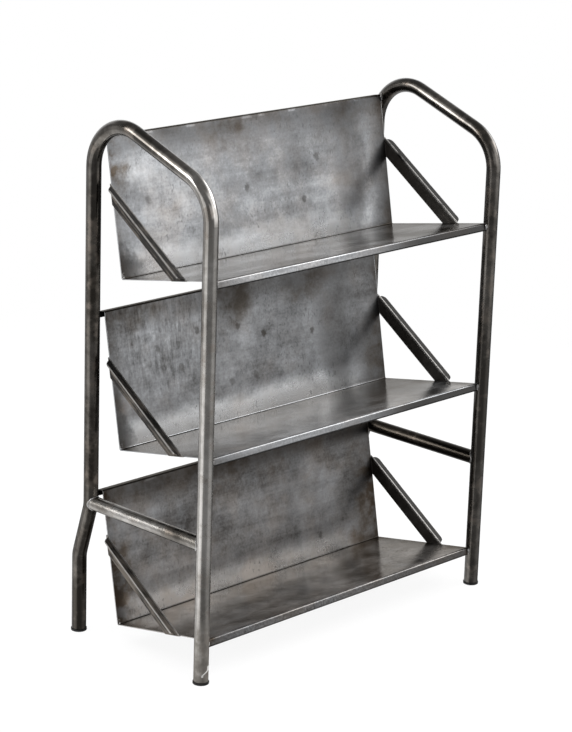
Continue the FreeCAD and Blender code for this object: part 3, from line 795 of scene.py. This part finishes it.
def rope(name, path, outward, radius, pitch, closed):
    """A bead along a path; outward is a direction at each point, and the bead swells once per pitch."""
    made = bmesh.new()
    rings = []
    travelled = 0.0
    last = len(path) - 1
    for index, point in enumerate(path):
        before = path[index - 1] if closed or index else point
        after = path[(index + 1) % len(path)] if closed or index < last else point
        travelled += (point - path[index - 1]).length if index else 0.0
        tangent = (after - before).normalized()
        side = (outward[index] - tangent * outward[index].dot(tangent)).normalized()
        other = tangent.cross(side)
        swell = radius * (ROPE_THIN + ROPE_SWELL * abs(math.cos(math.pi * travelled / pitch)))
        if not closed:
            share = (index + TIP_STEP) / (last + 2 * TIP_STEP)
            swell *= math.sqrt(max(ROPE_TIP, math.sin(math.pi * share)))
        ring = []
        for corner in range(ROPE_SIDES):
            angle = 2 * math.pi * corner / ROPE_SIDES
            away = side * math.cos(angle) + other * math.sin(angle)
            bulge = 1 + LUMP_DEPTH * noise.noise((point + away * radius) * LUMPS_PER_METRE)
            ring.append(made.verts.new(point + away * swell * bulge))
        rings.append(ring)
    pairs = list(zip(rings, rings[1:])) + ([(rings[-1], rings[0])] if closed else [])
    for first, second in pairs:
        for corner in range(ROPE_SIDES):
            following = (corner + 1) % ROPE_SIDES
            made.faces.new((first[corner], first[following], second[following], second[corner]))
    if not closed:
        made.faces.new(reversed(rings[0]))
        made.faces.new(rings[-1])
    bmesh.ops.recalc_face_normals(made, faces=made.faces)
    mesh = bpy.data.meshes.new(name)
    made.to_mesh(mesh)
    made.free()
    for face in mesh.polygons:
        face.use_smooth = True
    piece = bpy.data.objects.new(name, mesh)
    scene.collection.objects.link(piece)
    return piece


print("a rope has", ROPE_SIDES, "sides")

# %% [markdown]
# A rung bead runs round the end of the rung, where its tube meets the tube of the leg. At the rear the leg
# is already bending back there, so the curve leans with it. A shelf bead is a short upright line between
# leg and sheet, and its length comes from the bead in the CAD model.

# %% seams
TUBE_RADIUS = 0.0143
RUNG_RADIUS = 0.0140
RUNG_Z = 0.2745
SEAM_SINK = 0.0010
SEAM_STEPS = 72
KICK_TOP = 0.2782
KICK_RADIUS = 0.060
SHELF_BEAD_STEPS = 14


def rung_seam(leg_x, leg_y, facing, kicked):
    """The curve where a rung meets a leg, and the directions away from the rung on the side it faces."""
    path, outward = [], []
    seam_radius = RUNG_RADIUS - SEAM_SINK
    for step in range(SEAM_STEPS):
        angle = 2 * math.pi * step / SEAM_STEPS
        across = seam_radius * math.cos(angle)
        rising = seam_radius * math.sin(angle)
        below = max(0.0, KICK_TOP - RUNG_Z - rising)
        lean = KICK_RADIUS - math.sqrt(KICK_RADIUS ** 2 - below ** 2) if kicked else 0.0
        reach = math.sqrt(TUBE_RADIUS ** 2 - across ** 2)
        path.append(Vector((leg_x + across, leg_y + lean + facing * reach, RUNG_Z + rising)))
        outward.append(Vector((math.cos(angle), 0.0, math.sin(angle))))
    return path, outward


def shelf_seam(node):
    """An upright line through the middle of a shelf's bead in the CAD model, and its sideways directions."""
    low, high = (Vector(corner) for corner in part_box(node))
    middle = (low + high) / 2
    rises = [low.z + (high.z - low.z) * step / SHELF_BEAD_STEPS for step in range(SHELF_BEAD_STEPS + 1)]
    path = [Vector((middle.x, middle.y, z)) for z in rises]
    return path, [Vector((1.0, 0.0, 0.0))] * len(path)


print("a rung seam has", SEAM_STEPS, "points")

# %% [markdown]
# Weld metal cools under a thin scale: it is rough, bright where the scale is gone and sooty in patches. All
# beads share one such material. Each takes the place of the plain bead in the CAD model and goes with the
# one body of the bookcase, since nothing on it moves.

# %% weld beads
REAR_LEG_Y = 0.14165
RUNG_BEAD = {"radius": 0.0023, "pitch": 0.0050, "closed": True}
SHELF_BEAD = {"radius": 0.0026, "pitch": 0.0045, "closed": False}
WELD_RELIEF = 0.0006


def weld_finish():
    material, place = start("weld_metal")
    scale = clouds(place, 0.006, 6.0, 0.7)
    soot = rise(clouds(place, 0.02, 4.0, 0.6), 0.5, 0.68)
    colour = blend(rise(scale, 0.3, 0.7), TUBE_MID, STEEL_LIGHT)
    colour = blend(soot * 0.8, colour, SOOT_AND_SHADE)
    return close(material, place, colour, (0.3 + 0.3 * scale).limited(), scale, WELD_RELIEF)


def add_bead(node, path, outward, radius, pitch, closed):
    piece = rope(node + "_bead", path, outward, radius, pitch, closed)
    piece.data.materials.append(weld_metal)
    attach(piece, "root")
    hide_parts(node)
    return piece


weld_metal = weld_finish()
beads = []
for side in ("left", "right"):
    leg_x, front_y = leg_middle(f"front_{side}_foot_cap")
    for end, leg_y, facing in (("front", front_y, 1), ("rear", REAR_LEG_Y, -1)):
        path, outward = rung_seam(leg_x, leg_y, facing, end == "rear")
        beads.append(add_bead(f"{side}_rung_{end}_weld", path, outward, **RUNG_BEAD))
    for shelf in SHELF_HEIGHTS:
        for end in ("front", "rear"):
            node = f"{shelf}_shelf_{side}_{end}_weld"
            path, outward = shelf_seam(node)
            beads.append(add_bead(node, path, outward, **SHELF_BEAD))
print("laid", len(beads), "weld beads")

# %% [markdown]
# ## Last update
# The finished model keeps the size of the CAD model. The view layer is updated once more at the end.

# %% last update
bpy.context.view_layer.update()
